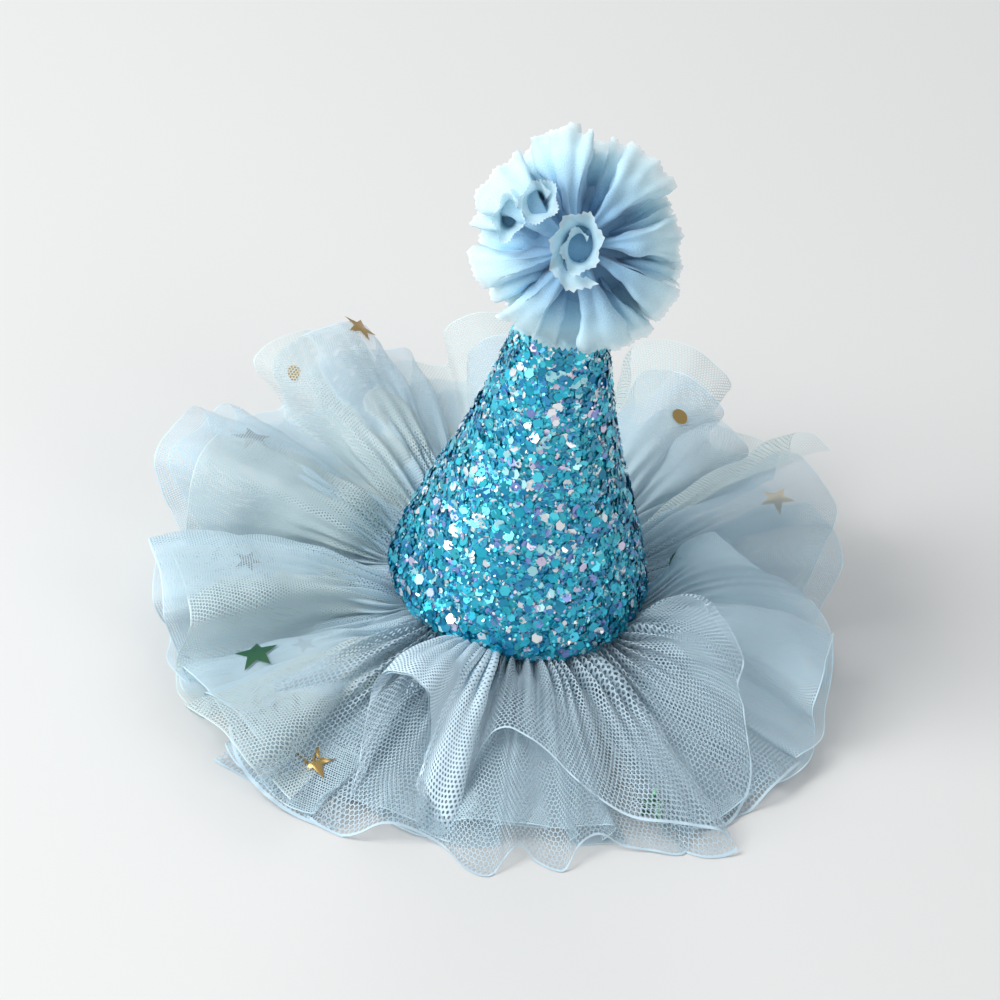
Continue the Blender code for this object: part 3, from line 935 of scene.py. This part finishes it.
def pinked(places, depth):
    """The strip with a zigzag cut along its edge."""
    edge = places[:, -1] - places[:, -2]
    edge = edge / np.linalg.norm(edge, axis=1, keepdims=True)
    places = places.copy()
    places[::2, -1] += edge[::2] * depth
    return places


def chiffon_piece(name, places, even, finish, seed, crumple):
    """A pinked strip, put in its place on the hat from the rosette's own directions."""
    cloth, _ = flat_cloth(places, even)
    dents = dents_of(places, CRUMPLE_SCALE, seed) + CREASE_SHARE * dents_of(places, CREASE_SCALE, seed)
    out = np.linspace(0, 1, places.shape[1])[None, :]
    frilled = FRILL_DEPTH * np.sin(math.tau * even[:, None] / FRILL_LENGTH) * out**3
    dents = dents * crumple * smooth_share(2.5 * out) + frilled
    places = pinked(places + normals_of(places) * dents[:, :, None], PINKED_DEPTH)
    turn = Matrix.Rotation(POMPOM_TILT, 3, "X")
    places = places @ np.array(turn).T + np.array(POMPOM_CENTRE)
    add_piece(name, cloth_mesh(name, places, cloth), finish, "chiffon", "pompom")


def petal_ring(name, ring, finish, seed):
    """One ring of petals. Its last fold runs on into its first one."""
    turn, drop, far, level, near = ring
    hem = hem_from_folds(PETALS, 0, *PETAL_SPAN, FOLD_CREST, PETAL_VALLEY, turn=turn, drop=drop)
    first = hem[0]
    hem = [row for row in hem if row[0] <= first[0] + LAST_PETAL] + [(first[0] + 360, *first[1:])]
    scaled = [
        (degrees, reach * far * POMPOM_RADIUS, height * POMPOM_RADIUS, rise * POMPOM_RADIUS)
        for degrees, reach, height, rise in hem
    ]
    root = (near * POMPOM_RADIUS, level * POMPOM_RADIUS, near * POMPOM_RADIUS)
    places, even, _ = gathered_strip(scaled, (first[0], first[0] + 360), root, PETAL_COLUMNS, PETAL_ROWS)
    chiffon_piece(name, places, even, finish, seed, PETAL_CRUMPLE)


def curl(name, across, up, turns, feet, rims, low, high, tallness, finish):
    """A strip rolled into an open cup that faces forwards."""
    share = np.linspace(0, 1, CURL_COLUMNS + 1)[:, None]
    rise = np.linspace(0, 1, CURL_ROWS + 1)[None, :]
    foot = feet[0] + (feet[1] - feet[0]) * share
    rim = rims[0] + (rims[1] - rims[0]) * share
    distance = foot + (rim - foot) * rise**2
    angle = math.tau * turns * share + CURL_TWIST * rise
    height = low + (high - low) * rise + CURL_WAVE * np.sin(3 * angle) * rise
    places = [across + distance * np.cos(angle), up + tallness * distance * np.sin(angle), height + 0 * angle]
    places = np.stack(places, axis=-1) * POMPOM_RADIUS
    even = lengths_along(places[:, -1])
    chiffon_piece(name, places, even, finish, CURL_SEED, CURL_CRUMPLE)


def chiffon_material():
    """Chiffon: darker deep in the gathers with painted shade, lighter at the rim with painted light, a little
    sheer towards the rim, and with a painted highlight along the pinked edge.
    """
    made, nodes, links, shader = new_material("chiffon")
    cloth = nodes.new("ShaderNodeUVMap")
    cloth.uv_map = "cloth"
    weave = nodes.new("ShaderNodeTexNoise")
    weave.inputs["Scale"].default_value = 4200
    weave.inputs["Detail"].default_value = 2
    links.new(cloth.outputs["UV"], weave.inputs["Vector"])
    split = nodes.new("ShaderNodeSeparateXYZ")
    links.new(cloth.outputs["UV"], split.inputs[0])
    # Painted light and shade: lighter at the rim, darker deep in the gathers, over the first 13 mm in from
    # the hem.
    gather_shade = map_range(nodes, links, split.outputs["Y"], 0.0, 13 * MM)
    grain = map_range(nodes, links, weave.outputs["Fac"], 0.3, 0.7, -0.12, 0.12)
    ramp = nodes.new("ShaderNodeValToRGB")
    ramp.color_ramp.elements[0].color = (*CHIFFON_RIM_LIGHT, 1.0)
    ramp.color_ramp.elements[1].color = (*CHIFFON_GATHER_SHADE, 1.0)
    ramp.color_ramp.elements.new(0.4).color = (*CHIFFON_COLOUR, 1.0)
    links.new(math_node(nodes, links, "ADD", gather_shade, grain), ramp.inputs["Fac"])
    tint = nodes.new("ShaderNodeMix")
    tint.data_type = "RGBA"
    # A painted highlight along the pinked edge.
    links.new(hem_band(nodes, links, 0.45 * MM), tint.inputs["Factor"])
    links.new(ramp.outputs["Color"], tint.inputs["A"])
    tint.inputs["B"].default_value = (*CHIFFON_EDGE_HIGHLIGHT, 1.0)
    links.new(tint.outputs["Result"], shader.inputs["Base Color"])
    sheer = map_range(nodes, links, split.outputs["Y"], 0.0, 4 * MM, 0.66, 1.0)
    links.new(sheer, shader.inputs["Alpha"])
    shader.inputs["Roughness"].default_value = 0.8
    shader.inputs["Sheen Weight"].default_value = 0.2
    return made


def pompom():
    """The rosette: its rings of petals, its curls, and the ball of cloth that fills its middle."""
    finish = chiffon_material()
    for count, ring in enumerate(PETAL_RINGS, 1):
        petal_ring(f"pompom_petals_{count}", ring, finish, count)
    for name, across, up, turns, foot, foot_end, rim, rim_end, low, high, tallness in CURLS:
        curl(name, across, up, turns, (foot, foot_end), (rim, rim_end), low, high, tallness, finish)
    bm = bmesh.new()
    place = Matrix.Translation(POMPOM_CENTRE)
    bmesh.ops.create_icosphere(bm, subdivisions=4, radius=POMPOM_CORE, matrix=place)
    mesh = mesh_of(bm, "pompom_core")
    mesh.uv_layers.new(name="cloth")
    add_piece("pompom_core", mesh, finish, "chiffon")


def foil_material(name, colour):
    """Printed metal foil."""
    made, _, _, shader = new_material(name)
    shader.inputs["Base Color"].default_value = (*colour, 1.0)
    shader.inputs["Metallic"].default_value = 0.9
    shader.inputs["Roughness"].default_value = 0.3
    return made


LIGHT_AIM = Vector((0, 0, 0.03))
LIGHTS = (
    # name, place, size, power
    ("key", (-0.62, -0.20, 0.70), 0.40, 5.2),
    ("window", (-0.80, -0.50, 0.42), 0.45, 4.2),
    ("fill", (0.7, -0.5, 0.5), 0.6, 1.7),
    ("back", (-0.1, 0.8, 0.6), 0.5, 1.8),
)


def floor_and_light():
    """A plain pale floor under the hat, soft daylight, and the lamps."""
    bm = bmesh.new()
    bmesh.ops.create_grid(bm, x_segments=1, y_segments=1, size=3.0, matrix=Matrix.Translation((0, 0, FLOOR)))
    ground = bpy.data.objects.new("floor", mesh_of(bm, "floor", smooth=False))
    bpy.context.scene.collection.objects.link(ground)
    made, _, _, shader = new_material("pale_floor")
    shader.inputs["Base Color"].default_value = (*FLOOR_COLOUR, 1.0)
    shader.inputs["Roughness"].default_value = 0.9
    ground.data.materials.append(made)
    world = bpy.data.worlds.new("studio")
    bpy.context.scene.world = world
    world.use_nodes = True
    background = world.node_tree.nodes["Background"]
    background.inputs["Color"].default_value = (0.92, 0.96, 1.0, 1.0)
    background.inputs["Strength"].default_value = 0.38
    for name, place, size, power in LIGHTS:
        light = bpy.data.lights.new(name, "AREA")
        light.size = size
        light.energy = power
        lamp = bpy.data.objects.new(name, light)
        lamp.location = place
        lamp.rotation_euler = (LIGHT_AIM - lamp.location).to_track_quat("-Z", "Y").to_euler()
        bpy.context.scene.collection.objects.link(lamp)


# The camera's distance, its angle above the floor and its lean, as fitted to the cone's outline, and the
# window on the photograph: the length of the lens in sensor widths, and how far the window is aside and up.
CAMERA_DISTANCE = 0.60
CAMERA_ELEVATION = math.radians(38)
CAMERA_LEAN = math.radians(10.5)
SENSOR_WIDTH = 36
LENS_SHARE = 3.572
WINDOW_ASIDE = -0.016
WINDOW_UP = 0.080


def photo_camera():
    """The photograph's viewpoint, on a window of half its width, so that the hat fills the frame."""
    target = Vector((0, 0, CONE_BASE))
    back = Vector((0, -math.cos(CAMERA_ELEVATION), math.sin(CAMERA_ELEVATION)))
    lens = bpy.data.cameras.new("camera")
    lens.sensor_width = SENSOR_WIDTH
    lens.lens = SENSOR_WIDTH * LENS_SHARE
    lens.shift_x = WINDOW_ASIDE
    lens.shift_y = WINDOW_UP
    lens.clip_start = 0.01
    camera = bpy.data.objects.new("camera", lens)
    camera.location = target + back * CAMERA_DISTANCE
    camera.rotation_mode = "QUATERNION"
    roll = Quaternion((0, 0, 1), CAMERA_LEAN)
    camera.rotation_quaternion = (-back).to_track_quat("-Z", "Y") @ roll
    bpy.context.scene.collection.objects.link(camera)
    bpy.context.scene.camera = camera


def dress_frame():
    """Finishes of the solids that stay."""
    for node, finish in (
        ("hair_clip", steel_material()),
        ("base_disc", felt_material()),
        ("glitter_cone", glitter_material("glitter_ground", cell_tint)),
    ):
        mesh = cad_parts[node].data
        mesh.materials.clear()
        mesh.materials.append(finish)


def tulle_ruffles():
    """The strips of tulle and net, from the lowest one up."""
    cream = tulle_material("cream_tulle", CREAM_COLOUR, pitch=0.60 * MM, hole=0.38, hem=0.14 * MM)
    fine = tulle_material("star_tulle", SKY_COLOUR, pitch=0.44 * MM, hole=0.35, hem=0.14 * MM)
    coarse = tulle_material("coarse_net", NET_COLOUR, pitch=0.84 * MM, hole=0.40, hem=0.42 * MM)
    # The double net has the real closer threads of the second ply, and a colour lighter than the coarse net
    # that is a painted highlight.
    double = tulle_material("double_net_highlight", FOLD_HIGHLIGHT_COLOUR, pitch=0.62 * MM, hole=0.27, hem=0.60 * MM)
    ruffle_sheet(
        "cream_tulle",
        hem_from_folds(FOLDS, 1, 34, 243, FOLD_CREST, FOLD_VALLEY, turn=3),
        arc=(38, 241),
        finish=cream,
        slot="cream_tulle",
        replaced="cream_ruffle",
        columns=480,
        rings=40,
        below=2.4 * MM,
        pleat=0.8 * MM,
        puff=2.4 * MM,
        seed=5,
    )
    lower, _ = ruffle_sheet(
        "star_tulle_lower",
        hem_from_folds(FOLDS, 0, -58, 304, FOLD_CREST, FOLD_VALLEY, share=0.78, turn=-7),
        arc=(-56, 304),
        finish=fine,
        slot="star_tulle",
        replaced="star_ruffle",
        columns=900,
        rings=44,
        below=1.6 * MM,
        pleat=1.0 * MM,
        puff=2.4 * MM,
        seed=11,
    )
    front = hem_from_folds(FOLDS, 0, -62, -17, FOLD_CREST, FOLD_VALLEY)
    round_the_back = hem_from_folds(FOLDS, 0, 23, 302, FOLD_CREST, FOLD_VALLEY)
    ruffle_sheet(
        "star_tulle_upper",
        [*front, *STAR_FLAP, *round_the_back],
        arc=(-60, 300),
        finish=fine,
        slot="star_tulle",
        replaced="star_ruffle",
        columns=960,
        rings=44,
        below=1.2 * MM,
        pleat=1.0 * MM,
        puff=2.6 * MM,
        seed=17,
        under=lower,
    )
    ruffle_sheet(
        "net_lower",
        NET_UNDER_HEM,
        arc=(226, 350),
        finish=coarse,
        slot="coarse_net",
        replaced="net_ruffle",
        columns=600,
        rings=44,
        below=0.6 * MM,
        pleat=0.9 * MM,
        puff=1.6 * MM,
        seed=23,
    )
    places, cloth = ruffle_sheet(
        "net_upper",
        NET_HEM,
        arc=(228, 352),
        finish=coarse,
        slot="coarse_net",
        replaced="net_ruffle",
        columns=800,
        rings=44,
        below=0.2 * MM,
        pleat=1.6 * MM,
        puff=0.9 * MM,
        seed=29,
    )
    folded_net(places, cloth, double)


def main():
    """The camera, the finishes of the solids, the cloth, the glitter, the rosette and the light."""
    photo_camera()
    dress_frame()
    tulle_ruffles()
    glitter_flakes()
    pompom()
    floor_and_light()
    bpy.context.scene.view_settings.view_transform = "Standard"
    bpy.context.scene.cycles.transparent_max_bounces = 32


main()
bpy.context.view_layer.update()
